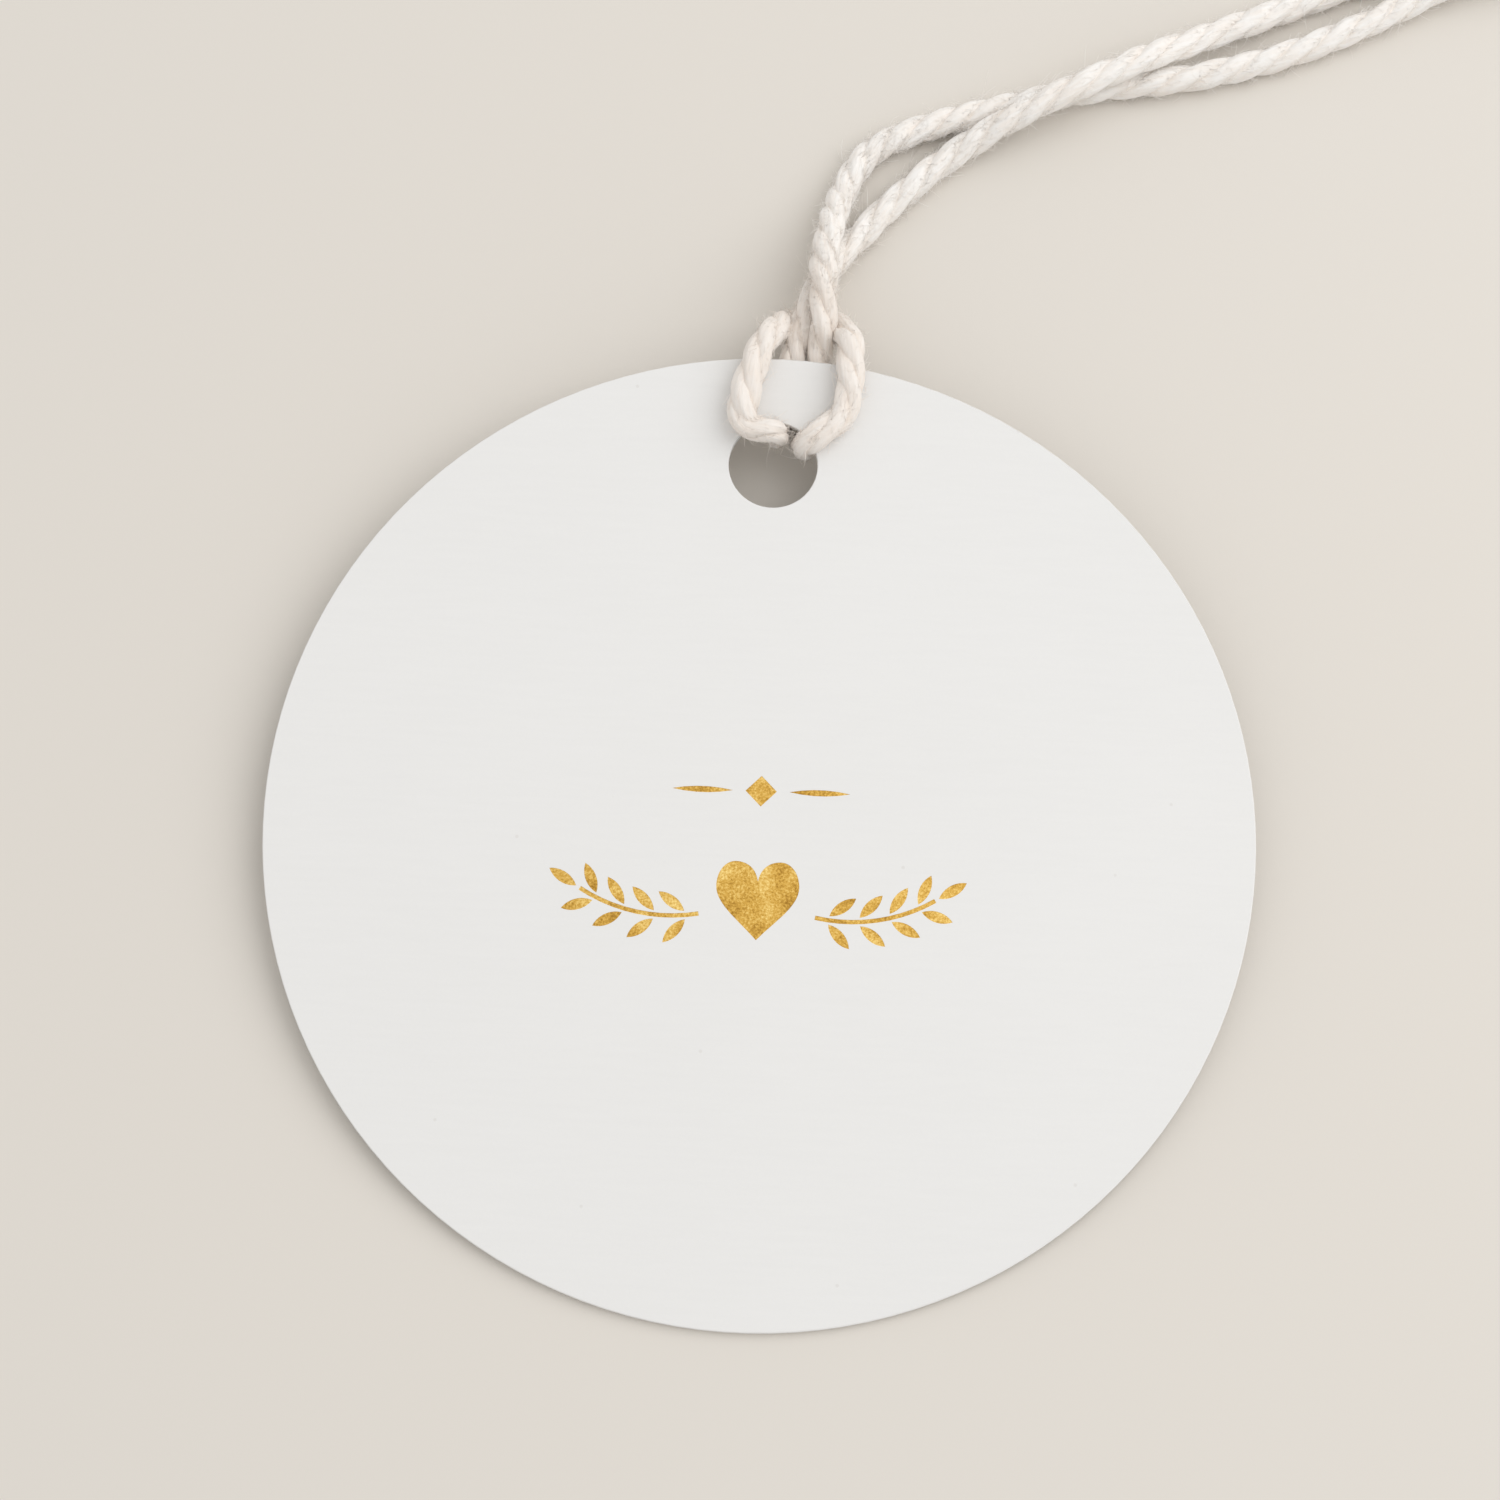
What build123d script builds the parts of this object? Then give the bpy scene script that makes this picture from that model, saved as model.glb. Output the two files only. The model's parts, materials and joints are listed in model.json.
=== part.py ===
"""Round card gift tag with foil ornament, hung on a cotton cord by a lark's head hitch.

The tag lies face up on a surface. Its lower rim touches the surface, and the cord under its top
leans it a few degrees. Units are millimetres. +Z is up, +Y runs from the card's centre to its hole,
and the origin is on the surface below the card's centre.
"""
from build123d import *
import math
import os

# Card
CARD_DIAMETER = 60.0
CARD_THICKNESS = 0.5
CARD_EDGE_ROUND = 0.08
HOLE_DIAMETER = 5.5
HOLE_FROM_RIM = 6.9

# Foil ornament, pressed into the card
FOIL_THICKNESS = 0.03
DEBOSS_DEPTH = 0.05
HEART_Y = -4.3
HEART_WIDTH = 5.0
HEART_HEIGHT = 4.8
SPRIG_START = 3.5
SPRIG_DROP = 0.9
SPRIG_LENGTH = 7.2
SPRIG_RISE = 1.3
SPRIG_SAG = 0.7
STEM_WIDTH = 0.27
LEAF_PAIRS = 4
LEAF_LENGTH = 1.95
LEAF_WIDTH = 0.67
LEAF_ANGLE = 42.0
LEAF_GAP = 0.12
RULE_Y = 2.45
RULE_LENGTH = 3.7
RULE_WIDTH = 0.39
RULE_GAP = 0.75
DIAMOND_SIZE = 1.9

# Cord
CORD_DIAMETER = 1.8
CORD_GAP = 0.1
BIGHT_REACH = 4.0
KNOT_LENGTH = 6.0
KNOT_DIAMETER = 4.8
KNOT_NECK = 4.0
KNOT_HEADING = 20.0

# Values worked out from the sizes above
CARD_RADIUS = CARD_DIAMETER / 2
HOLE_RADIUS = HOLE_DIAMETER / 2
HOLE_Y = CARD_RADIUS - HOLE_FROM_RIM
CORD_RADIUS = CORD_DIAMETER / 2
LAYER = CORD_DIAMETER + CORD_GAP
FACE_STANDOFF = CARD_THICKNESS / 2 + CORD_RADIUS + CORD_GAP
HOLE_STANDOFF = HOLE_RADIUS - CORD_RADIUS - CORD_GAP
LEAN = math.degrees(math.asin(2 * LAYER / (CARD_RADIUS + CARD_RADIUS + BIGHT_REACH)))
CARD_CENTRE_HEIGHT = (
    CARD_RADIUS * math.sin(math.radians(LEAN))
    + CARD_THICKNESS / 2 * math.cos(math.radians(LEAN))
)
CARD_PLACE = Pos(0, 0, CARD_CENTRE_HEIGHT) * Rot(LEAN, 0, 0)
RIM_Y = CARD_RADIUS * math.cos(math.radians(LEAN))
FOIL_SEAT = CARD_THICKNESS / 2 - DEBOSS_DEPTH


def on_card(x, y, height):
    """A place given from the card's centre, with its height above the card's middle plane."""
    return (CARD_PLACE * Pos(x, y, height)).position


def past_rim(x, beyond, layer):
    """A place beyond the card's top, on the surface (layer 0) or that many cords above it."""
    return Vector(x, RIM_Y + beyond, CORD_RADIUS + layer * LAYER)


def through_hole(angle, height):
    """A place just inside the hole's wall, at an angle from +X."""
    return on_card(
        HOLE_STANDOFF * math.cos(math.radians(angle)),
        HOLE_Y + HOLE_STANDOFF * math.sin(math.radians(angle)),
        height,
    )


# Foil outlines, flat, on the card's own axes

def leaf(base, heading, length, width):
    """An almond outline from its base to its tip."""
    along = Vector(math.cos(math.radians(heading)), math.sin(math.radians(heading)))
    side = Vector(-along.Y, along.X)
    middle = base + along * (length / 2)
    tip = base + along * length
    edges = [
        ThreePointArc(base, middle + side * (width / 2), tip),
        ThreePointArc(tip, middle - side * (width / 2), base),
    ]
    return make_face(edges)


def heart():
    """A plain heart about its own centre."""
    half, high = HEART_WIDTH / 2, HEART_HEIGHT / 2
    notch, tip = Vector(0, high * 0.5), Vector(0, -high)
    edges = []
    for hand in (1, -1):
        side = hand * half
        crown, shoulder = Vector(side * 0.54, high), Vector(side, high * 0.36)
        edges.append(Bezier(notch, Vector(side * 0.05, high * 0.82), Vector(side * 0.26, high), crown))
        edges.append(Bezier(crown, Vector(side * 0.8, high), Vector(side, high * 0.72), shoulder))
        edges.append(Bezier(shoulder, Vector(side, -high * 0.12), Vector(side * 0.42, -high * 0.52), tip))
    return make_face(edges)


def sprig(hand):
    """Stem and leaves of one sprig, outward from the heart. Hand is 1 at the right, -1 at the left."""
    foot = Vector(SPRIG_START, HEART_Y - SPRIG_DROP)
    end = foot + Vector(SPRIG_LENGTH, SPRIG_RISE)
    stem = ThreePointArc(foot, (foot + end) / 2 - Vector(0, SPRIG_SAG), end)
    faces = [trace(stem, line_width=STEM_WIDTH).face()]
    clear = STEM_WIDTH / 2 + LEAF_GAP
    for pair in range(LEAF_PAIRS):
        spot, along = stem @ ((pair + 0.45) / LEAF_PAIRS), stem % ((pair + 0.45) / LEAF_PAIRS)
        heading = math.degrees(math.atan2(along.Y, along.X))
        for side in (1, -1):
            base = spot + Vector(-along.Y, along.X) * (side * clear)
            faces.append(leaf(base, heading + side * LEAF_ANGLE, LEAF_LENGTH, LEAF_WIDTH))
    along = stem % 1
    tip_base = end + along * clear
    faces.append(leaf(tip_base, math.degrees(math.atan2(along.Y, along.X)), LEAF_LENGTH, LEAF_WIDTH))
    if hand < 0:
        faces = [mirror(face, about=Plane.YZ) for face in faces]
    return faces


def rules():
    """Two tapered rules, one each side of the diamond."""
    inner = DIAMOND_SIZE / 2 + RULE_GAP
    right = leaf(Vector(inner, RULE_Y), 0, RULE_LENGTH, RULE_WIDTH)
    return [right, mirror(right, about=Plane.YZ)]


def diamond():
    """A square standing on its corner."""
    half = DIAMOND_SIZE / 2
    return make_face(Polyline((half, 0), (0, half), (-half, 0), (0, -half), close=True))


def foil_outlines():
    """Every foil node with its flat outlines."""
    return {
        "foil_heart": [Pos(0, HEART_Y) * heart()],
        "foil_sprig_left": sprig(-1),
        "foil_sprig_right": sprig(1),
        "foil_rules": rules(),
        "foil_diamond": [Pos(0, RULE_Y) * diamond()],
    }


def solid_on_seat(face, height):
    """An outline raised from the floor of its deboss."""
    return extrude(Pos(0, 0, FOIL_SEAT) * face, amount=height, dir=(0, 0, 1))


def card(outlines):
    """The die-cut disc with its punched hole and the debossed seats of the foil."""
    disc = Cylinder(CARD_RADIUS, CARD_THICKNESS)
    disc -= Pos(0, HOLE_Y) * Cylinder(HOLE_RADIUS, CARD_THICKNESS)
    disc = fillet(disc.edges().filter_by(GeomType.CIRCLE), CARD_EDGE_ROUND)
    seats = [solid_on_seat(face, DEBOSS_DEPTH) for faces in outlines.values() for face in faces]
    return CARD_PLACE * (disc - seats)


def foil(faces):
    """The foil islands of one node."""
    return CARD_PLACE * Compound([solid_on_seat(face, FOIL_THICKNESS).solid() for face in faces])


# Cord routes, from the middle of the bight back to the tails

BIGHT_END = [
    past_rim(0.1, BIGHT_REACH, 0),
    past_rim(3.8, BIGHT_REACH, 0),
]
LEFT_HITCH = [
    past_rim(-0.95, 2.5, 1.35),
    on_card(-1.75, CARD_RADIUS + 0.7, FACE_STANDOFF),
    on_card(-2.4, HOLE_Y + 3.5, FACE_STANDOFF),
    through_hole(97, FACE_STANDOFF),
    through_hole(97, -FACE_STANDOFF),
    on_card(0.2, CARD_RADIUS - 2.6, -FACE_STANDOFF),
    on_card(0.9, CARD_RADIUS + 0.3, -FACE_STANDOFF),
    past_rim(1.4, 2.6, 0.98),
]
RIGHT_HITCH = [
    past_rim(4.85, 2.5, 1.35),
    on_card(5.0, CARD_RADIUS + 0.5, FACE_STANDOFF),
    on_card(4.15, HOLE_Y + 3.0, FACE_STANDOFF),
    through_hole(18, FACE_STANDOFF),
    through_hole(18, -FACE_STANDOFF),
    on_card(2.3, CARD_RADIUS - 3.0, -FACE_STANDOFF),
    on_card(2.9, CARD_RADIUS + 0.5, -FACE_STANDOFF),
    past_rim(2.97, 2.6, 1.68),
]
LEFT_ROOT = [
    past_rim(1.95, 4.7, 1.0),
    past_rim(3.0, 7.1, 0.62),
    past_rim(4.9, 9.75, 0.1),
]
RIGHT_ROOT = [
    past_rim(2.75, 4.7, 1.92),
    past_rim(2.75, 7.2, 1.73),
    past_rim(3.1, 9.85, 0.95),
]
LEFT_LEG = [
    past_rim(7.1, 12.35, 0),
    past_rim(9.5, 14.75, 0),
    past_rim(11.8, 16.45, 0.05),
    past_rim(14.75, 18.0, 0.5),
    past_rim(18.0, 19.7, 1.05),
    past_rim(22.0, 22.0, 1.05),
    past_rim(26.3, 24.5, 0.4),
    past_rim(30.6, 26.6, 0),
    past_rim(35.0, 28.3, 0),
    past_rim(39.2, 30.0, 0),
    past_rim(42.6, 31.1, 0.15),
]
RIGHT_LEG = [
    past_rim(3.75, 12.65, 0.1),
    past_rim(5.0, 15.4, 0),
    past_rim(7.05, 16.9, 0),
    past_rim(11.0, 18.95, 0),
    past_rim(15.0, 20.1, 0),
    past_rim(19.4, 20.6, 0),
    past_rim(23.6, 21.4, 0),
    past_rim(28.4, 22.9, 0),
    past_rim(33.4, 24.85, 0),
    past_rim(38.0, 26.8, 0),
    past_rim(42.6, 29.0, 0.15),
]
KNOT_START = past_rim(50.5, 33.0, 0)
LAST_RUN = 4.2
CORNER_SHARE = 0.45
TAIL_RUN = 3.0
TAIL_SPREAD = 14.0

HEADING = Vector(math.cos(math.radians(KNOT_HEADING)), math.sin(math.radians(KNOT_HEADING)))
ACROSS = Vector(-HEADING.Y, HEADING.X)
KNOT_IN = Vector(KNOT_START.X, KNOT_START.Y, KNOT_DIAMETER / 2)


def knot_end(hand):
    """The last two points of a leg. They run straight into the knot."""
    entry = KNOT_IN + ACROSS * (hand * LAYER / 2)
    return [entry - HEADING * LAST_RUN, entry]


def tail_points(hand):
    """A tail comes straight out of the knot, then falls to the surface and opens outward."""
    points = [KNOT_IN + HEADING * KNOT_LENGTH + ACROSS * (hand * LAYER / 2)]
    heights = (KNOT_DIAMETER / 2, CORD_RADIUS + LAYER * 0.2, CORD_RADIUS)
    for step, height in enumerate(heights):
        turn = math.radians(KNOT_HEADING + hand * TAIL_SPREAD * step)
        ahead = points[-1] + Vector(math.cos(turn), math.sin(turn)) * TAIL_RUN
        points.append(Vector(ahead.X, ahead.Y, height))
    return points


LEFT_ROUTE = LEFT_HITCH + LEFT_ROOT + LEFT_LEG + knot_end(1)
RIGHT_ROUTE = RIGHT_HITCH + RIGHT_ROOT + RIGHT_LEG + knot_end(-1)
ROUTE = LEFT_ROUTE[::-1] + BIGHT_END + RIGHT_ROUTE


def corner(before, here, after):
    """Half the turn at a point, the radius there and the directions in and out."""
    run_in, run_out = here - before, after - here
    half_turn = math.radians(run_in.get_angle(run_out)) / 2
    reach = CORNER_SHARE * min(run_in.length, run_out.length)
    return half_turn, reach / math.tan(half_turn), run_in.normalized(), run_out.normalized()


def smooth_path(points, first, last):
    """Straight runs joined by tangent arcs, from the middle of run `first` to that of run `last`.

    A run before the first point, or after the last one, stands for that end of the route.
    """
    here = points[0] if first < 0 else (points[first] + points[first + 1]) / 2
    end = points[-1] if last > len(points) - 2 else (points[last] + points[last + 1]) / 2
    edges, radii = [], []
    for index in range(max(first, 0) + 1, min(last, len(points) - 2) + 1):
        half_turn, radius, way_in, way_out = corner(*points[index - 1:index + 2])
        reach = radius * math.tan(half_turn)
        inward = (way_out - way_in).normalized()
        middle = points[index] + inward * (radius / math.cos(half_turn) - radius)
        start, stop = points[index] - way_in * reach, points[index] + way_out * reach
        edges += [Line(here, start), ThreePointArc(start, middle, stop)]
        radii.append(radius)
        here = stop
    return Wire(edges + [Line(here, end)]), radii


def cord(name, points, first, last):
    """A tube along part of a route."""
    path, radii = smooth_path(points, first, last)
    tube = sweep(Plane(path @ 0, z_dir=path % 0) * Circle(CORD_RADIUS), path)
    share = tube.volume / (math.pi * CORD_RADIUS ** 2 * path.length)
    print(f"{name}: {path.length:.1f} mm, volume {share:.4f} of section times length,",
          "radii", " ".join(f"{radius:.1f}" for radius in radii))
    return tube


def knot():
    """The outer shape of the overhand knot that joins the ends: a barrel with flat ends."""
    outline = [
        Line((0, 0), (KNOT_NECK / 2, 0)),
        ThreePointArc((KNOT_NECK / 2, 0), (KNOT_DIAMETER / 2, KNOT_LENGTH / 2), (KNOT_NECK / 2, KNOT_LENGTH)),
        Line((KNOT_NECK / 2, KNOT_LENGTH), (0, KNOT_LENGTH)),
        Line((0, KNOT_LENGTH), (0, 0)),
    ]
    barrel = revolve(Plane.XZ * make_face(outline), Axis.Z)
    return Plane(KNOT_IN, z_dir=HEADING) * barrel


def main():
    os.makedirs("parts", exist_ok=True)
    outlines = foil_outlines()
    hitch_end = len(LEFT_HITCH)
    root_end = hitch_end + len(LEFT_ROOT)
    left_turn = len(LEFT_ROUTE)
    nodes = {
        "card": card(outlines),
        "hitch": cord("hitch", ROUTE, left_turn - hitch_end - 1, left_turn + 1 + hitch_end),
        "left_leg_root": cord("left_leg_root", LEFT_ROUTE, hitch_end - 1, root_end - 1),
        "right_leg_root": cord("right_leg_root", RIGHT_ROUTE, hitch_end - 1, root_end - 1),
        "left_leg": cord("left_leg", LEFT_ROUTE, root_end - 1, len(LEFT_ROUTE)),
        "right_leg": cord("right_leg", RIGHT_ROUTE, root_end - 1, len(RIGHT_ROUTE)),
        "end_knot": knot(),
    }
    for name, hand in (("left_tail", 1), ("right_tail", -1)):
        nodes[name] = cord(name, tail_points(hand), -1, len(tail_points(hand)))
    for name, faces in outlines.items():
        nodes[name] = foil(faces)
    for name, shape in nodes.items():
        export_step(shape, f"parts/{name}.step")


main()
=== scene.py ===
"""Dresses the gift tag's frame: off-white paper, gold foil and a twisted cotton cord."""

import json
import math

import bpy
import numpy as np
from bpy.props import FloatProperty, FloatVectorProperty, IntProperty, PointerProperty
from mathutils import Matrix, Vector


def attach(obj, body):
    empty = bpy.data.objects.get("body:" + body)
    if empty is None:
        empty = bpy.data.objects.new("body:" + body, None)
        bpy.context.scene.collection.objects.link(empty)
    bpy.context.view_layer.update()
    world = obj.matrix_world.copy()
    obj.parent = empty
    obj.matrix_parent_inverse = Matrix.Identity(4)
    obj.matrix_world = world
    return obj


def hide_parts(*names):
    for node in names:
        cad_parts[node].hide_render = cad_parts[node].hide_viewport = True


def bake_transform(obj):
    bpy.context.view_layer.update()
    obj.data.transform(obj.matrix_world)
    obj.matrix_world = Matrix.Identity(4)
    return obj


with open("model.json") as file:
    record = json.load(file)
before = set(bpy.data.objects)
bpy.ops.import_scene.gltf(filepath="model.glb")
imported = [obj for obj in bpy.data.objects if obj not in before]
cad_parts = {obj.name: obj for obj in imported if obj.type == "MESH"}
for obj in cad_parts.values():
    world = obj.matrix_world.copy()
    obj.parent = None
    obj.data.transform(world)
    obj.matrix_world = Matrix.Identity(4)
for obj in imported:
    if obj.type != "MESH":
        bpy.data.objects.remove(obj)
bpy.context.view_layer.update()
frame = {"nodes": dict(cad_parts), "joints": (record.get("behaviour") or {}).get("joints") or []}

bl_info = {
    "name": "Gift tag",
    "version": (1, 0, 0),
    "blender": (4, 5, 0),
    "location": "View3D > Sidebar > Gift tag",
    "description": "Dresses the gift tag's frame with paper, gold foil and twisted cotton cord",
    "category": "Object",
}

MM = 0.001

# The cord's control points, in millimetres, from the bight outward on each side.
BIGHT_END = [(0.85, 33.75, 0.9), (3.4, 33.75, 0.9)]
LEFT_HITCH = [
    (0.05, 32.4, 3.45), (-1.0, 30.6, 5.14), (-2.5, 25.0, 4.74), (0.25, 24.95, 4.74),
    (0.25, 25.1, 2.3), (0.45, 27.43, 2.41), (1.0, 30.32, 2.58), (1.4, 32.55, 2.7),
]
LEFT_LEG = [
    (2.1, 34.65, 2.75), (3.0, 37.05, 2.05), (4.9, 39.7, 1.09), (7.1, 42.3, 0.9), (9.5, 44.7, 0.9),
    (11.8, 46.4, 1.15), (14.69, 48.07, 2.3), (18.0, 49.65, 2.9), (22.09, 51.77, 2.9), (26.44, 54.18, 1.66),
    (30.73, 56.28, 0.9), (35.0, 58.25, 0.9), (39.2, 59.95, 0.9), (42.6, 61.05, 1.19), (46.23, 62.4, 2.4),
    (50.18, 63.84, 2.4),
]
RIGHT_HITCH = [
    (4.2, 32.3, 3.2), (4.65, 30.3, 5.1), (4.55, 26.0, 4.72), (1.9, 24.25, 4.6),
    (1.9, 24.6, 2.25), (2.25, 27.03, 2.39), (2.65, 30.56, 2.57), (2.85, 32.57, 4.15),
]
RIGHT_LEG = [
    (2.7, 34.65, 4.6), (2.75, 37.15, 4.2), (3.1, 39.8, 2.71), (3.75, 42.6, 1.09), (5.0, 45.35, 0.9),
    (7.05, 46.85, 0.9), (11.2, 48.42, 0.9), (15.11, 49.5, 0.9), (19.36, 50.82, 0.9), (23.6, 51.35, 0.9),
    (28.56, 52.41, 0.9), (33.64, 54.21, 0.9), (38.14, 56.44, 0.9), (42.6, 58.95, 1.19), (46.88, 60.62, 2.4),
    (50.82, 62.05, 2.4),
]
LEFT_TAIL = [(55.81, 65.89, 2.4), (58.63, 66.92, 2.3), (61.12, 68.6, 1.28), (63.13, 70.83, 0.9)]
RIGHT_TAIL = [(56.46, 64.11, 2.4), (59.28, 65.13, 2.3), (62.27, 65.45, 1.28), (65.24, 65.03, 0.9)]

# Where the cord's pieces meet and by how much they lap, and where the swinging loop bends, in metres.
HITCH_EDGE_Y = 33.6 * MM
LAP = 0.3 * MM
BEND_END = (2.9 * MM, 40.0 * MM, 3.1 * MM)

# The plies' turns at the hitch's left edge. Then their lay as a share of the cord's own, by the distance
# in metres along the cord from the hitch's left edge and from its right edge.
HITCH_TURNS = 0.567
LEFT_LAY = {-0.006: 1.25, 0.0: 1.14}
RIGHT_LAY = {0.0: 1.2, 0.006: 1.15, 0.012: 0.95, 0.016: 0.95, 0.024: 1.05, 0.034: 1.22}

# Stretches of the hitch that swell or are squeezed, by what share, and how far along the cord that fades.
GIRTH_CHANGES = (
    (LEFT_HITCH[1:3], 0.12), (LEFT_HITCH[3:5], -0.2), (RIGHT_HITCH[3:5], -0.06),
    (LEFT_HITCH[6:], -0.06), (RIGHT_HITCH[6:], -0.06),
)
GIRTH_FADE = 0.0017

# The end knot: its place and size in metres.
KNOT_FOOT = Vector((50.5, 62.95, 2.4)) * MM
KNOT_LENGTH = 6.0 * MM
KNOT_LAP = 0.4 * MM
KNOT_HEADING = math.radians(20)

# A strand of the knot, in millimetres and degrees: points on its way in and out, each along the knot, across
# to the strand's own side, and up. Between them it wraps round the core, from a start on the left or right.
CORE_IN = ((1.6, 0.7, -0.1), (3.4, 0.35, -0.5))
CORE_OUT = ((2.4, 0.25, 0.3), (4.2, 0.6, 0.15))
LEFT_WRAP, RIGHT_WRAP = 4.7, 3.1
WRAP_POINTS = 10
WRAP_START, WRAP_TURN, WRAP_PITCH = -100, 44, 0.24
WRAP_WIDTH, WRAP_HEIGHT = 1.58, 1.5

# The card that the cord is pressed against. Its hole's middle and its normal are those of the hitch's joint.
TURN_JOINT = next(joint for joint in frame["joints"] if joint["name"] == "hitch_turn")
HOLE_MIDDLE, CARD_NORMAL = np.array(TURN_JOINT["pos_m"]), np.array(TURN_JOINT["axis"])
HALF_CARD = 0.25 * MM
HOLE_RADIUS = 2.75 * MM
CARD_RADIUS = 30.0 * MM
HOLE_OFFSET = 23.1 * MM
SKIN = 0.015 * MM

# The least height above the floor of the plies, the loose fibres and the frayed ends, in metres.
PLY_REST = 0.00002
FIBRE_REST = 0.00005
FRAY_REST = 0.00006

# The seed of the loose fibres on each piece, and that of the plies' wander on the cord and in the knot.
FIBRE_SEEDS = {"hitch": 3, "left_leg": 5, "right_leg": 7, "end_knot": 11, "left_tail": 18, "right_tail": 16}
CORD_SEED = 1
KNOT_SEED = 2

# How much fuzz the tight hitch and the knot have, beside the loose legs and tails.
HITCH_FUZZ = 0.7
KNOT_FUZZ = 0.45

# The frayed ends: the last share of a tail where its plies open and how that sets in, and the number and
# the spread of the fibres there.
FRAY_SHARE = 0.45
FRAY_EASE = 1.5
FRAY_FIBRES = 150
FRAY_OPENING = 0.55

# Points read from a spline for each of its control points, on the cord and in the knot.
CORD_STEPS = 18
KNOT_STEPS = 16

# Tints that darken parts of a finish (painted shade in the grooves between plies, the card's own specks), the
# sockets of a node that mixes colours, and the rows of a sheet.
NO_TINT = (1, 1, 1)
PAINTED_GROOVE_SHADE = (0.98, 0.95, 0.92)
SPECK_TINT = (0.93, 0.92, 0.91)
FIRST_COLOUR, SECOND_COLOUR, MIXED_COLOUR = 6, 7, 2
NODE_ROW = 180

# The stage in metres: the floor, the lamp, and the point on the card that the camera looks at. The sensor's
# width is in millimetres.
FLOOR_SIZE = 6
FLOOR_DROP = 0.00002
LAMP_SIZE = 0.5
LAMP_PLACE = (0.28, 0.14, 0.34)
LAMP_AIM = Vector((0.0, 0.02, 0.0))
SKY_COLOUR = (1.0, 0.995, 0.985, 1)
CAMERA_AIM = Vector((-0.000771, 0.005119, 0.002))
SENSOR_WIDTH = 36.0
NEAREST_SEEN = 0.01


class CordSettings(bpy.types.PropertyGroup):
    """Sizes and colours of the twisted cotton cord."""
    diameter: FloatProperty(name="Diameter", description="Across the twisted cord", default=0.0018,
                            unit="LENGTH", precision=5)
    lay: FloatProperty(name="Lay", description="Length of one turn of the three plies", default=0.0061,
                       unit="LENGTH", precision=5)
    ply: FloatProperty(name="Ply", description="Radius of one ply", default=0.00056,
                       unit="LENGTH", precision=6)
    yarns: IntProperty(name="Yarns", description="Yarns that show round each ply", default=6)
    ridge: FloatProperty(name="Ridge", description="Height of a yarn as a share of its ply", default=0.06)
    fuzz: FloatProperty(name="Fuzz", description="Loose fibre ends on each millimetre of cord", default=75.0)
    fibre: FloatProperty(name="Fibre", description="Radius of a loose fibre at its root", default=0.000019,
                         unit="LENGTH", precision=7)
    light: FloatVectorProperty(name="Light", description="Cotton on the crowns of the plies",
                               subtype="COLOR", default=(0.955, 0.93, 0.9))
    cream: FloatVectorProperty(name="Cream", description="Cotton in its darker streaks",
                               subtype="COLOR", default=(0.935, 0.88, 0.825))
    # Painted shade: a darker, warmer colour multiplied over the cotton of the tight hitch.
    hitch_shade: FloatVectorProperty(name="Hitch shade", description="Tint of the cotton in the tight hitch",
                                 subtype="COLOR", default=(0.95, 0.92, 0.895))


class PaperSettings(bpy.types.PropertyGroup):
    """Colours and grain of the card."""
    white: FloatVectorProperty(name="White", description="The card's main colour",
                               subtype="COLOR", default=(0.82, 0.813, 0.8))
    shade: FloatVectorProperty(name="Shade", description="The darker fibres in the card",
                               subtype="COLOR", default=(0.8, 0.793, 0.78))
    grain: FloatProperty(name="Grain", description="Depth of the paper's grain", default=0.000012,
                         unit="LENGTH", precision=7)


class FoilSettings(bpy.types.PropertyGroup):
    """Colours of the stamped foil."""
    dark: FloatVectorProperty(name="Dark", description="The foil's darkest grains",
                              subtype="COLOR", default=(0.37, 0.185, 0.028))
    gold: FloatVectorProperty(name="Gold", description="The foil's main colour",
                              subtype="COLOR", default=(0.71, 0.43, 0.088))
    bright: FloatVectorProperty(name="Bright", description="The foil's brightest grains",
                                subtype="COLOR", default=(1.0, 0.78, 0.31))


class StageSettings(bpy.types.PropertyGroup):
    """The plain floor, the light and the camera."""
    floor: FloatVectorProperty(name="Floor", description="Colour of the plain floor",
                               subtype="COLOR", default=(0.74, 0.70, 0.645))
    sky: FloatProperty(name="Sky", description="Strength of the even light from all round", default=0.77)
    key: FloatProperty(name="Key", description="Power of the soft lamp", default=0.92, unit="POWER")
    lens: FloatProperty(name="Lens", description="Focal length", default=85.0)
    distance: FloatProperty(name="Distance", description="Camera to the point it looks at", default=0.21556,
                            unit="LENGTH", precision=5)
    height: FloatProperty(name="Height", description="Angle above the floor",
                          default=math.radians(73.849), subtype="ANGLE")
    roll: FloatProperty(name="Roll", description="Turn about the line of sight",
                        default=math.radians(2.131), subtype="ANGLE")


def spline_points(name, route, steps):
    """Points read from the smooth spline that a route's control points give."""
    curve = bpy.data.curves.new(name, "CURVE")
    curve.dimensions = "3D"
    spline = curve.splines.new("NURBS")
    spline.points.add(len(route) - 1)
    for point, place in zip(spline.points, route):
        point.co = (*(Vector(place) * MM), 1.0)
    spline.order_u = 3
    spline.use_endpoint_u = True
    spline.resolution_u = steps
    holder = bpy.data.objects.new(name, curve)
    bpy.context.collection.objects.link(holder)
    bpy.context.view_layer.update()
    mesh = bpy.data.meshes.new_from_object(holder)
    points = np.array([vertex.co[:] for vertex in mesh.vertices])
    bpy.data.objects.remove(holder)
    bpy.data.curves.remove(curve)
    bpy.data.meshes.remove(mesh)
    return points


def unit(vectors):
    """Each row at length one."""
    return vectors / np.linalg.norm(vectors, axis=-1, keepdims=True)


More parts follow.
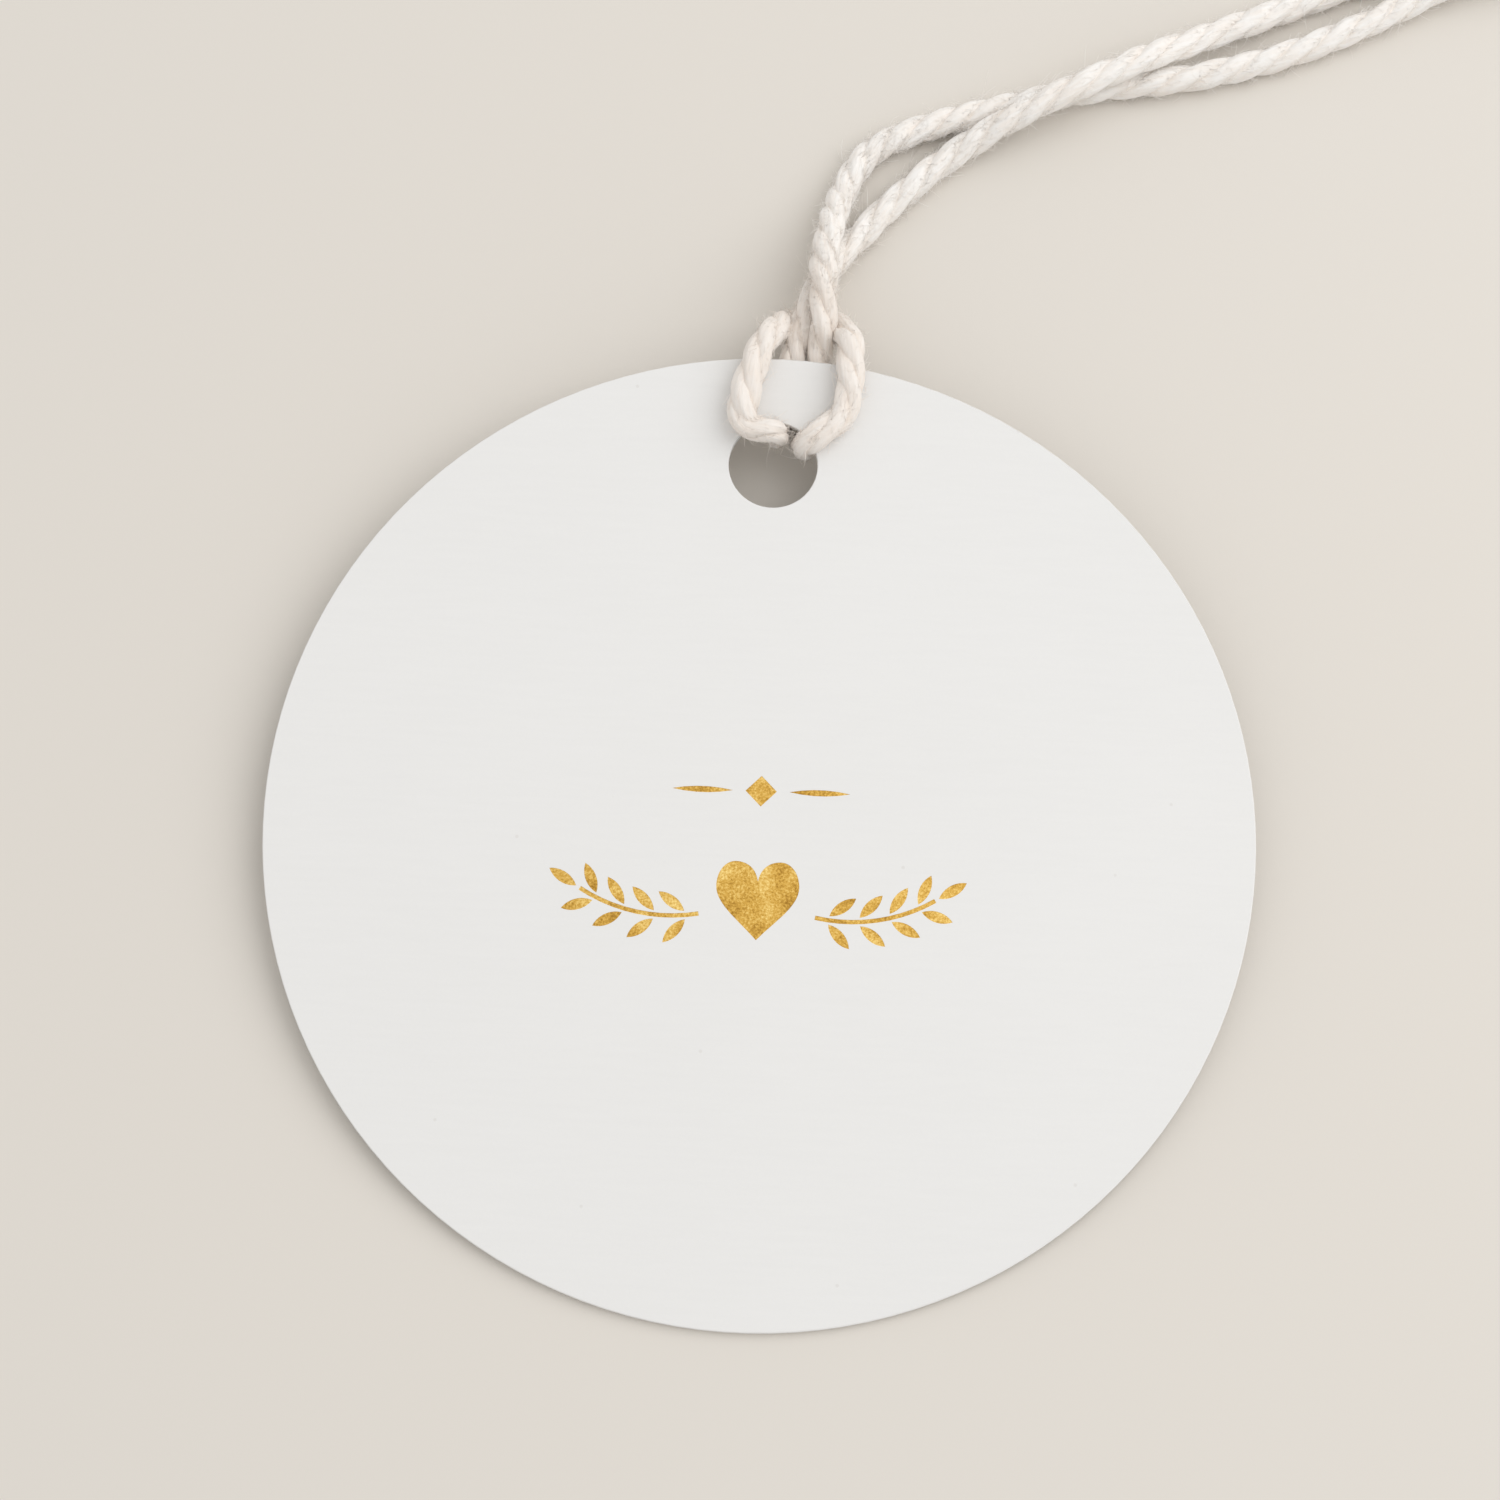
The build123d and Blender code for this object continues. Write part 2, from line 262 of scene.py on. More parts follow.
class CordLine:
    """A line of points with its arc length, its plies' turns and a frame that turns no more than it does."""

    def __init__(self, points, lay):
        self.points = points
        steps = np.linalg.norm(np.diff(points, axis=0), axis=1)
        self.arc = np.concatenate([[0.0], np.cumsum(steps)])
        self.girth = np.ones(len(points))
        self.lay(np.full(len(points), lay))
        self.along = unit(np.gradient(points, axis=0))
        across = np.cross(self.along[0], (0.0, 0.0, 1.0))
        rows = [across / np.linalg.norm(across)]
        for way in self.along[1:]:
            row = rows[-1] - way * np.dot(rows[-1], way)
            rows.append(row / np.linalg.norm(row))
        self.side = np.array(rows)
        self.other = np.cross(self.along, self.side)

    def lay(self, lengths):
        """Sets the plies' turns from the length of one turn at each point."""
        steps = np.diff(self.arc) / (0.5 * (lengths[1:] + lengths[:-1]))
        self.turns = np.concatenate([[0.0], np.cumsum(steps)])

    def between(self, low, high):
        """The same line from one arc length to another."""
        part = object.__new__(CordLine)
        keep = (self.arc >= low - 1e-9) & (self.arc <= high + 1e-9)
        for name in ("points", "arc", "turns", "girth", "along", "side", "other"):
            setattr(part, name, getattr(self, name)[keep])
        return part


def clear_of_card(points):
    """Moves points that would be inside the card to its nearer face, its hole's wall or its rim."""
    away = points - HOLE_MIDDLE
    height = away @ CARD_NORMAL
    flat = away - height[:, None] * CARD_NORMAL
    from_hole = np.linalg.norm(flat, axis=1)
    down_card = np.cross(CARD_NORMAL, (1.0, 0.0, 0.0)) * -HOLE_OFFSET
    from_middle = np.linalg.norm(flat - down_card, axis=1)
    to_face = HALF_CARD + SKIN - np.abs(height)
    to_hole = from_hole - (HOLE_RADIUS - SKIN)
    to_rim = CARD_RADIUS + SKIN - from_middle
    inside = (to_face > 0) & (to_hole > 0) & (to_rim > 0)
    least = np.minimum(np.minimum(to_face, to_hole), to_rim)
    out = np.where((least == to_face)[:, None], np.sign(height)[:, None] * CARD_NORMAL,
                   np.where((least == to_hole)[:, None], -flat / from_hole[:, None],
                            (flat - down_card) / from_middle[:, None]))
    return np.where(inside[:, None], points + least[:, None] * out, points)


def wave(values, rng, size, lengths):
    """A smooth seeded wander along a cord, up to a size either way."""
    total = np.zeros(len(values))
    for length in lengths:
        total += np.sin(2 * math.pi * (values / length + rng.random())) / len(lengths)
    return size * total


class Cotton:
    """Collects plies and loose fibres into one mesh."""
    # Sides of a ply, how far its yarns and its surface spots are shifted from the next ply's, and the level
    # in a yarn's ridge that keeps the ply's own radius.
    SIDES = 24
    YARN_SHIFT = 2.1
    SPOT_SHIFT = 500.0
    RIDGE_LEVEL = 1.2

    # How far a ply wanders in its turn, thickness and reach, and the lengths in metres over which it does.
    TURN_WANDER = (0.2, (0.0061, 0.0093))
    THICKNESS_WANDER = (0.06, (0.0019, 0.0034, 0.0057))
    REACH_WANDER = (0.06, (0.0043, 0.0078))

    # How much a ply that opens at a frayed end moves out and thins.
    OPEN_REACH = 1.5
    OPEN_THINNING = 0.8

    # A loose fibre: its sides, what is left of its radius at the end, a direction that hardly any follows,
    # and the millimetres of cotton that its one surface spot comes from.
    FIBRE_SIDES = 3
    FIBRE_TAPER = 0.45
    ASKEW = (0.31, 0.52, 0.79)
    FIBRE_SPOTS = 90.0

    # The fuzz: points of a fibre, its root as a share of the cord's diameter, its least length and the two
    # values of the gamma spread over that in millimetres, its curl, its lean, how much a lean shortens it
    # and bends it back, how far it strays, and its radius as a share of the cord's setting.
    FUZZ_POINTS = 4
    FUZZ_ROOT = 0.42
    FUZZ_LEAST = 0.28
    FUZZ_SPREAD = (1.4, 0.22)
    FUZZ_CURL = 0.5
    FUZZ_LEAN = (0.15, 1.0)
    LEAN_SHORTENING = 0.5
    LEAN_BEND = 0.45
    FUZZ_STRAY = 0.16
    FUZZ_THICKNESS = (0.7, 1.15)

    # The frayed ends: points of a fibre, the share of the tail before its first root, the roots' reach as a
    # share of the cord's diameter, the length past the tail's end in millimetres, how wide it fans, how far
    # it strays, and its radius as a share of the cord's setting.
    FRAY_POINTS = 6
    FRAY_ROOTS = 0.62
    FRAY_REACH = 0.4
    FRAY_LENGTH = (0.2, 2.0)
    FRAY_FAN = (0.2, 1.0)
    FRAY_STRAY = 0.14
    FRAY_THICKNESS = (1.0, 1.7)

    def __init__(self, cord, seed):
        self.cord = cord
        self.rng = np.random.default_rng(seed)
        self.points, self.faces, self.spots = [], [], []
        self.count = 0

    def add(self, points, faces, spots):
        """Points, faces on them, and one surface spot for each corner of each face."""
        self.points.append(points)
        self.faces += [[self.count + corner for corner in face] for face in faces]
        self.spots += spots
        self.count += len(points)

    def tube(self, centres, outward, radii, line, ply):
        """One ply: rings of yarns round its own line, with their seam on the inner side."""
        cord, sides = self.cord, self.SIDES
        along = unit(np.gradient(centres, axis=0))
        outward = unit(outward - along * np.sum(outward * along, axis=1)[:, None])
        across = np.cross(along, outward)
        turn = math.pi + 2 * math.pi * np.arange(sides) / sides
        ridges = cord.yarns * (turn[None, :] - 2 * math.pi * line.turns[:, None]) + self.YARN_SHIFT * ply
        girth = radii[:, None] * (1 + cord.ridge * (np.abs(np.cos(ridges / 2)) * 2 - self.RIDGE_LEVEL))
        rings = centres[:, None] + girth[:, :, None] * (
            np.cos(turn)[None, :, None] * outward[:, None] + np.sin(turn)[None, :, None] * across[:, None])
        faces, spots = [], []
        places = line.arc / MM + self.SPOT_SHIFT * ply
        for ring in range(len(centres) - 1):
            row, following = ring * sides, (ring + 1) * sides
            for side in range(sides):
                beside = (side + 1) % sides
                faces.append((row + side, row + beside, following + beside, following + side))
                here, there = side / sides, (side + 1) / sides
                spots += [(places[ring], here), (places[ring], there),
                          (places[ring + 1], there), (places[ring + 1], here)]
        self.add(rings.reshape(-1, 3), faces, spots)
        for ring, corners in ((rings[0], range(sides - 1, -1, -1)), (rings[-1], range(sides))):
            self.add(ring, [tuple(corners)], [(places[0], 0.5)] * sides)

    def plies(self, line, seed, spread=None):
        """Three plies laid left-handed round a line. Spread widens them and thins them towards an end."""
        cord, rng = self.cord, np.random.default_rng(seed)
        for ply in range(3):
            turn = -2 * math.pi * line.turns + 2 * math.pi * ply / 3
            turn = turn + wave(line.arc, rng, *self.TURN_WANDER)
            outward = np.cos(turn)[:, None] * line.side + np.sin(turn)[:, None] * line.other
            radii = cord.ply * line.girth * (1 + wave(line.arc, rng, *self.THICKNESS_WANDER))
            reach = (cord.diameter / 2 - cord.ply) * line.girth
            reach = reach * (1 + wave(line.arc, rng, *self.REACH_WANDER))
            if spread is not None:
                reach = reach * (1 + self.OPEN_REACH * spread)
                radii = radii * (1 - self.OPEN_THINNING * spread)
            self.tube(line.points + outward * reach[:, None], outward, radii, line, ply)

    def fibre_tube(self, path, radius):
        """One loose fibre as a thin tube of few sides that narrows towards its end, on one spot of cotton."""
        sides, last = self.FIBRE_SIDES, len(path) - 1
        along = unit(np.gradient(path, axis=0))
        side = unit(np.cross(along, self.ASKEW))
        other = np.cross(along, side)
        turn = 2 * math.pi * np.arange(sides) / sides
        thin = radius * np.linspace(1.0, self.FIBRE_TAPER, len(path))
        rings = path[:, None] + thin[:, None, None] * (
            np.cos(turn)[None, :, None] * side[:, None] + np.sin(turn)[None, :, None] * other[:, None])
        faces = []
        for row in range(0, last * sides, sides):
            for corner in range(sides):
                following, beside = row + sides, (corner + 1) % sides
                faces.append((row + corner, row + beside, following + beside, following + corner))
        faces += [tuple(range(sides - 1, -1, -1)), tuple(range(last * sides, len(path) * sides))]
        spot = (self.rng.random() * self.FIBRE_SPOTS, 0.5)
        self.add(rings.reshape(-1, 3), faces, [spot] * sum(len(face) for face in faces))

    def way_out(self, line, place):
        """A random direction straight out from a line at one of its points."""
        turn = self.rng.random() * 2 * math.pi
        return math.cos(turn) * line.side[place] + math.sin(turn) * line.other[place]

    def fuzz(self, line, share=1.0):
        """Loose fibre ends that stand off the cord, most of them short, a few long."""
        cord, rng = self.cord, self.rng
        length = line.arc[-1] - line.arc[0]
        share_along = np.linspace(0, 1, self.FUZZ_POINTS)[:, None]
        for _ in range(int(share * cord.fuzz * length / MM)):
            place = rng.integers(1, len(line.points) - 1)
            out = self.way_out(line, place)
            way = line.along[place] * (1 if rng.random() < 0.5 else -1)
            curl = np.cross(way, out) * rng.normal(0, self.FUZZ_CURL)
            reach = MM * (self.FUZZ_LEAST + rng.gamma(*self.FUZZ_SPREAD))
            lean = rng.uniform(*self.FUZZ_LEAN)
            path = (line.points[place] + out * cord.diameter * self.FUZZ_ROOT * line.girth[place]
                    + reach * share_along * (way * (1 - self.LEAN_SHORTENING * lean) + curl)
                    + reach * lean * out * (share_along - self.LEAN_BEND * share_along ** 2)
                    + reach * self.FUZZ_STRAY * rng.normal(0, 1, 3) * share_along ** 2)
            path[:, 2] = np.maximum(path[:, 2], FIBRE_REST)
            self.fibre_tube(path, cord.fibre * rng.uniform(*self.FUZZ_THICKNESS))

    def brush(self, line, fibres, opening):
        """The frayed end of a tail: fibres that go on from the plies and fan out."""
        cord, rng = self.cord, self.rng
        end, way = line.points[-1], line.along[-1]
        start = int(len(line.points) * self.FRAY_ROOTS)
        share_along = np.linspace(0, 1, self.FRAY_POINTS)[:, None]
        for _ in range(fibres):
            place = rng.integers(start, len(line.points) - 1)
            out = self.way_out(line, place)
            root = line.points[place] + out * cord.diameter * self.FRAY_REACH * math.sqrt(rng.random())
            reach = np.linalg.norm(end - line.points[place]) + MM * rng.uniform(*self.FRAY_LENGTH)
            path = (root + way * reach * share_along
                    + out * reach * opening * rng.uniform(*self.FRAY_FAN) * share_along ** 2
                    + reach * self.FRAY_STRAY * rng.normal(0, 1, 3) * share_along ** 2)
            path[:, 2] = np.maximum(path[:, 2], FRAY_REST)
            self.fibre_tube(path, cord.fibre * rng.uniform(*self.FRAY_THICKNESS))

    def piece(self, name):
        """The collected mesh as an object in the frame, with its cotton."""
        mesh = bpy.data.meshes.new(name)
        points = clear_of_card(np.concatenate(self.points))
        points[:, 2] = np.maximum(points[:, 2], PLY_REST)
        mesh.from_pydata(points.tolist(), [], self.faces)
        spots = mesh.uv_layers.new(name="Lay")
        spots.data.foreach_set("uv", np.array(self.spots, dtype=np.float32).ravel())
        mesh.polygons.foreach_set("use_smooth", [True] * len(mesh.polygons))
        mesh.update()
        piece = bpy.data.objects.new(name, mesh)
        bpy.context.collection.objects.link(piece)
        piece.data.materials.append(cotton_finish())
        return piece


def main_line():
    """The cord's one line between the knot's two entries, from the left leg to the right one."""
    left, right = LEFT_HITCH + LEFT_LEG, RIGHT_HITCH + RIGHT_LEG
    cord = bpy.context.scene.tag_cord
    line = CordLine(spline_points("route", left[::-1] + BIGHT_END + right, CORD_STEPS), cord.lay)
    low, high = hitch_edges(line)
    places = [low + away for away in LEFT_LAY] + [high + away for away in RIGHT_LAY]
    shares = [*LEFT_LAY.values(), *RIGHT_LAY.values()]
    line.lay(cord.lay * np.interp(line.arc, places, shares))
    line.turns += HITCH_TURNS - np.interp(low, line.arc, line.turns)
    for pair, change in GIRTH_CHANGES:
        middle = np.mean(pair, axis=0) * MM
        away = line.arc - line.arc[np.argmin(np.linalg.norm(line.points - middle, axis=1))]
        line.girth = line.girth + change * np.exp(-(away / GIRTH_FADE) ** 2)
    return line


def hitch_edges(line):
    """The arc lengths where the left leg ends and the right leg starts."""
    inside = np.where(line.points[:, 1] < HITCH_EDGE_Y)[0]
    return line.arc[inside[0]], line.arc[inside[-1]]


def knot_place(along, across, up):
    """A point of the knot, from its foot: along it, across it and up, in millimetres."""
    way = Vector((math.cos(KNOT_HEADING), math.sin(KNOT_HEADING), 0))
    beside = Vector((-way.y, way.x, 0))
    return tuple((KNOT_FOOT + (way * along + beside * across + Vector((0, 0, up))) * MM) / MM)


def knot_route(hand):
    """One strand of the overhand knot: in through its core, once round the outside, and out under that."""
    leg, first, tail = (LEFT_LEG, LEFT_WRAP, LEFT_TAIL) if hand > 0 else (RIGHT_LEG, RIGHT_WRAP, RIGHT_TAIL)
    core_in = [knot_place(along, across * hand, up) for along, across, up in CORE_IN]
    wrap = []
    for step in range(WRAP_POINTS):
        turn = math.radians(WRAP_START + WRAP_TURN * step)
        across, up = WRAP_WIDTH * math.sin(turn), WRAP_HEIGHT * math.cos(turn)
        wrap.append(knot_place(first - WRAP_PITCH * step, across, up))
    core_out = [knot_place(along, across * hand, up) for along, across, up in CORE_OUT]
    return leg[-2:] + core_in + wrap + core_out + tail


def set_values(node, values):
    """Gives a node its settings and its sockets' values."""
    for name, value in values.items():
        if hasattr(node, name):
            setattr(node, name, value)
        else:
            node.inputs[name].default_value = value


def finish_node(tree, kind, place, **values):
    """A node of a material at a place on its sheet, with its values."""
    node = tree.nodes.new("ShaderNode" + kind)
    node.location = place
    set_values(node, values)
    return node


def vector_node(tree, kind, place, vector, **values):
    """A node that reads a vector, such as a mapping or a texture."""
    node = finish_node(tree, kind, place, **values)
    tree.links.new(vector, node.inputs["Vector"])
    return node


def weighted_sum(tree, place, *parts):
    """The sum of some values, each times its share."""
    total = None
    for value, share in reversed(parts):
        node = finish_node(tree, "Math", place, operation="MULTIPLY" if total is None else "MULTIPLY_ADD")
        node.inputs[1].default_value = share
        tree.links.new(value, node.inputs[0])
        if total is not None:
            tree.links.new(total, node.inputs[2])
        total = node.outputs["Value"]
        place = (place[0], place[1] + NODE_ROW)
    return total


def colour_ramp(tree, place, value, *stops):
    """The colour that a ramp gives a value, from stops of a position and a colour, lowest first."""
    node = finish_node(tree, "ValToRGB", place)
    tree.links.new(value, node.inputs["Fac"])
    elements = node.color_ramp.elements
    for element, (position, colour) in zip(elements, (stops[0], stops[-1])):
        element.position, element.color = position, (*colour, 1)
    for position, colour in stops[1:-1]:
        elements.new(position).color = (*colour, 1)
    return node.outputs["Color"]


def tint_node(tree, place, colour):
    """A node that multiplies a colour by a second one."""
    node = finish_node(tree, "Mix", place, data_type="RGBA", blend_type="MULTIPLY", Factor=1.0)
    tree.links.new(colour, node.inputs[FIRST_COLOUR])
    return node


def raise_surface(tree, place, shader, height, strength, distance):
    """Bumps a shader's surface by a height."""
    node = finish_node(tree, "Bump", place, Strength=strength, Distance=distance)
    tree.links.new(height, node.inputs["Height"])
    tree.links.new(node.outputs["Normal"], shader.inputs["Normal"])


def fresh_material(name):
    """A new node material with its tree and shader, or the one already made with neither."""
    if name in bpy.data.materials:
        return bpy.data.materials[name], None, None
    material = bpy.data.materials.new(name)
    material.use_nodes = True
    tree = material.node_tree
    return material, tree, tree.nodes["Principled BSDF"]


def cotton_finish():
    """Cream cotton: fibres that lie along the cord, with painted shade between the plies and a darker, warmer
    painted shade over the hitch.
    """
    cord = bpy.context.scene.tag_cord
    material, tree, shader = fresh_material("cotton")
    if tree is None:
        return material
    link = tree.links.new
    spots = finish_node(tree, "UVMap", (-1500, 0), uv_map="Lay").outputs["UV"]
    size = vector_node(tree, "Mapping", (-1320, 0), spots, Scale=(1.0, 2.9, 1.0)).outputs["Vector"]
    turn = vector_node(tree, "Mapping", (-1140, 0), size, Rotation=(0, 0, math.radians(-30)))
    stretch = vector_node(tree, "Mapping", (-960, 0), turn.outputs["Vector"], Scale=(0.5, 5.5, 1.0))
    fibres = vector_node(tree, "TexNoise", (-760, 60), stretch.outputs["Vector"],
                         Scale=1.0, Detail=5.0, Roughness=0.62).outputs["Fac"]
    patches = vector_node(tree, "TexNoise", (-760, -220), size, Scale=0.55, Detail=2.0).outputs["Fac"]
    mixed = weighted_sum(tree, (-560, -240), (fibres, 0.6), (patches, 0.4))
    streaks = colour_ramp(tree, (-380, -60), mixed, (0.4, cord.cream), (0.58, cord.light))
    round_ply = vector_node(tree, "SeparateXYZ", (-1140, -420), spots).outputs["Y"]
    # Painted shade: the sides of each ply that face its neighbours are darkened, where the grooves between
    # the plies lie.
    groove_shade = colour_ramp(tree, (-760, -460), round_ply,
                         (0.2, PAINTED_GROOVE_SHADE), (0.36, NO_TINT), (0.64, NO_TINT), (0.8, PAINTED_GROOVE_SHADE))
    tint = tint_node(tree, (-100, -60), streaks)
    link(groove_shade, tint.inputs[SECOND_COLOUR])
    # Painted shade over the hitch: from the hitch's edge to the bend, the cotton is multiplied by a darker,
    # warmer colour.
    place = finish_node(tree, "TexCoord", (-1500, -760)).outputs["Object"]
    where = vector_node(tree, "SeparateXYZ", (-1320, -760), place)
    nearness = finish_node(tree, "MapRange", (-1140, -760), **{
        "From Min": HITCH_EDGE_Y, "From Max": BEND_END[1], "To Min": 1.0, "To Max": 0.0})
    link(where.outputs["Y"], nearness.inputs["Value"])
    hitch_shade = tint_node(tree, (80, -60), tint.outputs[MIXED_COLOUR])
    hitch_shade.inputs[SECOND_COLOUR].default_value = (*cord.hitch_shade, 1)
    link(nearness.outputs["Result"], hitch_shade.inputs["Factor"])
    link(hitch_shade.outputs[MIXED_COLOUR], shader.inputs["Base Color"])
    raise_surface(tree, (-100, -420), shader, fibres, strength=1.0, distance=0.00013)
    set_values(shader, {"Roughness": 0.9, "Specular IOR Level": 0.2,
                        "Sheen Weight": 0.25, "Sheen Roughness": 0.5})
    return material


def paper_finish():
    """Uncoated card: a faint grain across the sheet, fine mottling and a few specks."""
    paper = bpy.context.scene.tag_paper
    material, tree, shader = fresh_material("paper")
    if tree is None:
        return material
    link = tree.links.new
    place = finish_node(tree, "TexCoord", (-1300, 0)).outputs["Object"]
    along = vector_node(tree, "Mapping", (-1100, 120), place, Scale=(260.0, 2600.0, 2600.0))
    grain = vector_node(tree, "TexNoise", (-900, 120), along.outputs["Vector"],
                        Scale=1.0, Detail=4.0, Roughness=0.6).outputs["Fac"]
    mottle = vector_node(tree, "TexNoise", (-900, -140), place,
                         Scale=5200.0, Detail=3.0, Roughness=0.65).outputs["Fac"]
    cloud = vector_node(tree, "TexNoise", (-900, -400), place, Scale=70.0, Detail=2.0).outputs["Fac"]
    mixed = weighted_sum(tree, (-700, -360), (grain, 0.4), (mottle, 0.3), (cloud, 0.3))
    sheet = colour_ramp(tree, (-480, 0), mixed, (0.3, paper.shade), (0.6, paper.white))
    dots = vector_node(tree, "TexVoronoi", (-900, -660), place, Scale=260.0).outputs["Distance"]
    specks = colour_ramp(tree, (-480, -400), dots, (0.02, SPECK_TINT), (0.035, NO_TINT))
    tint = tint_node(tree, (-200, 0), sheet)
    link(specks, tint.inputs[SECOND_COLOUR])
    link(tint.outputs[MIXED_COLOUR], shader.inputs["Base Color"])
    raise_surface(tree, (-200, -400), shader, mixed, strength=0.45, distance=paper.grain)
    set_values(shader, {"Roughness": 0.82, "Specular IOR Level": 0.3})
    return material


def foil_finish():
    """Gold foil: fine bright and dark grains over a soft metal."""
    foil = bpy.context.scene.tag_foil
    material, tree, shader = fresh_material("foil")
    if tree is None:
        return material
    link = tree.links.new
    place = finish_node(tree, "TexCoord", (-1100, 0)).outputs["Object"]
    grains = vector_node(tree, "TexNoise", (-880, 100), place,
                         Scale=7000.0, Detail=4.0, Roughness=0.75).outputs["Fac"]
    drift = vector_node(tree, "TexNoise", (-880, -160), place, Scale=700.0, Detail=2.0).outputs["Fac"]
    mixed = weighted_sum(tree, (-680, -120), (grains, 0.65), (drift, 0.35))
    tones = colour_ramp(tree, (-460, 60), mixed, (0.36, foil.dark), (0.5, foil.gold), (0.66, foil.bright))
    link(tones, shader.inputs["Base Color"])
    rough = finish_node(tree, "MapRange", (-460, -220), **{"To Min": 0.4, "To Max": 0.62})
    link(grains, rough.inputs["Value"])
    link(rough.outputs["Result"], shader.inputs["Roughness"])
    raise_surface(tree, (-200, -300), shader, mixed, strength=0.5, distance=0.00001)
    set_values(shader, {"Metallic": 1.0})
    return material


def give_finish(node, material):
    """Puts a material on every slot of a CAD node."""
    piece = frame["nodes"][node]
    if not piece.material_slots:
        piece.data.materials.append(material)
    for slot in piece.material_slots:
        slot.material = material


class TAG_OT_card(bpy.types.Operator):
    """Gives the card its paper"""
    bl_idname = "tag.card"
    bl_label = "Paper card"

    def execute(self, context):
        give_finish("card", paper_finish())
        return {"FINISHED"}


class TAG_OT_foil(bpy.types.Operator):
    """Gives the stamped ornament its gold foil"""
    bl_idname = "tag.foil"
    bl_label = "Gold foil"

    def execute(self, context):
        for node in ("foil_heart", "foil_sprig_left", "foil_sprig_right", "foil_rules", "foil_diamond"):
            give_finish(node, foil_finish())
        return {"FINISHED"}


class TAG_OT_hitch(bpy.types.Operator):
    """Lays the cow hitch through the hole and round the rim"""
    bl_idname = "tag.hitch"
    bl_label = "Cow hitch"

    def execute(self, context):
        line = main_line()
        line = line.between(*hitch_edges(line))
        cotton = Cotton(context.scene.tag_cord, FIBRE_SEEDS["hitch"])
        cotton.plies(line, CORD_SEED)
        cotton.fuzz(line, HITCH_FUZZ)
        piece = cotton.piece("hitch_cord")
        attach(piece, "hitch")
        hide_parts("hitch")
        return {"FINISHED"}


class TAG_OT_knot(bpy.types.Operator):
    """Ties the two legs' ends in an overhand knot and frays their tails"""
    bl_idname = "tag.knot"
    bl_label = "End knot and tails"

    def execute(self, context):
        cord = context.scene.tag_cord
        knot = Cotton(cord, FIBRE_SEEDS["end_knot"])
        way = np.array((math.cos(KNOT_HEADING), math.sin(KNOT_HEADING), 0))
        for hand, name in ((1, "left_tail"), (-1, "right_tail")):
            line = CordLine(spline_points("strand", knot_route(hand), KNOT_STEPS), cord.lay)
            forward = (line.points - np.array(KNOT_FOOT)) @ way
            start = line.arc[np.where(forward > -KNOT_LAP)[0][0]]
            leave = line.arc[np.where(forward < KNOT_LENGTH)[0][-1]]
            strand = line.between(start, leave)
            knot.plies(strand, KNOT_SEED)
            knot.fuzz(strand, KNOT_FUZZ)
            tail = line.between(leave, line.arc[-1])
            cotton = Cotton(cord, FIBRE_SEEDS[name])
            share = (tail.arc - tail.arc[0]) / (tail.arc[-1] - tail.arc[0])
            opened = np.clip((share - (1 - FRAY_SHARE)) / FRAY_SHARE, 0, 1) ** FRAY_EASE
            cotton.plies(tail, KNOT_SEED, spread=opened)
            cotton.fuzz(tail)
            cotton.brush(tail, FRAY_FIBRES, FRAY_OPENING)
            piece = cotton.piece(name + "_cord")
            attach(piece, "loop")
            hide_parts(name)
        piece = knot.piece("end_knot_cord")
        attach(piece, "loop")
        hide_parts("end_knot")
        return {"FINISHED"}


class TAG_OT_legs(bpy.types.Operator):
    """Lays the two legs from the hitch to the knot"""
    bl_idname = "tag.legs"
    bl_label = "Cord legs"

    def execute(self, context):
        cord = context.scene.tag_cord
        line = main_line()
        left_end, right_start = hitch_edges(line)
        reaches = {"left_leg": (line.arc[0], left_end), "right_leg": (right_start, line.arc[-1])}
        for name, (low, high) in reaches.items():
            leg = line.between(low, high)
            cotton = Cotton(cord, FIBRE_SEEDS[name])
            cotton.plies(line.between(low - LAP, high + LAP), CORD_SEED)
            cotton.fuzz(leg)
            piece = cotton.piece(name + "_cord")
            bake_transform(piece)
            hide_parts(name, name + "_root")
        return {"FINISHED"}


def plain_floor(context, stage):
    """The pale floor that the tag lies on."""
    bpy.ops.object.select_all(action="DESELECT")
    bpy.ops.mesh.primitive_plane_add(size=FLOOR_SIZE, location=(0, 0, -FLOOR_DROP))
    floor = context.object
    floor.name = "floor"
    material, _, shader = fresh_material("plain_floor")
    if shader is not None:
        set_values(shader, {"Base Color": (*stage.floor, 1), "Roughness": 0.9, "Specular IOR Level": 0.1})
    floor.data.materials.append(material)


def soft_light(scene, stage):
    """One broad lamp from the upper right, and an even sky."""
    lamp = bpy.data.lights.new("key", "AREA")
    lamp.shape = "DISK"
    lamp.size = LAMP_SIZE
    lamp.energy = stage.key
    key = bpy.data.objects.new("key", lamp)
    key.location = LAMP_PLACE
    key.rotation_euler = (LAMP_AIM - key.location).to_track_quat("-Z", "Y").to_euler()
    scene.collection.objects.link(key)
    world = bpy.data.worlds.new("even_sky")
    world.use_nodes = True
    set_values(world.node_tree.nodes["Background"], {"Color": SKY_COLOUR, "Strength": stage.sky})
    scene.world = world


